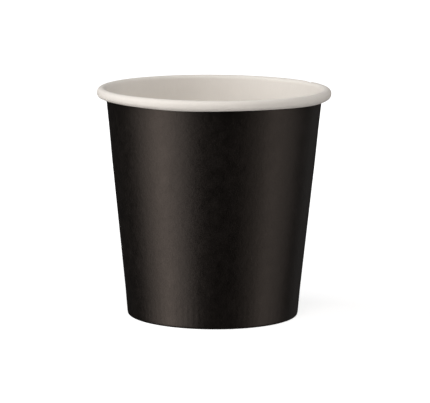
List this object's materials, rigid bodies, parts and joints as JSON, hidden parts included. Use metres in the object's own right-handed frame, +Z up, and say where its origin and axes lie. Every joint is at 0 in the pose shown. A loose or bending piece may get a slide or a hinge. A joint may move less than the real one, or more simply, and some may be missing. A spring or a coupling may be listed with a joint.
{
  "type": "paper cup",
  "caption": "Small tapered single-wall paper cup with a rolled rim, a lapped side seam and a raised base disc crimped into the foot.",
  "frame": {"origin": "centre of the ring that the cup stands on, at the level of the table", "axes": "+Z up along the cup's axis, +Y away from the viewer of the picture, +X to the viewer's right; the side seam is 20 degrees from +X towards +Y"},
  "size_m": [0.062, 0.062, 0.0607],
  "materials": {
    "wall_board": "satin",
    "base_board": "satin"
  },
  "bodies": {
    "root": {"sidewall": "wall_board", "base_disc": "base_board"}
  },
  "joints": []
}
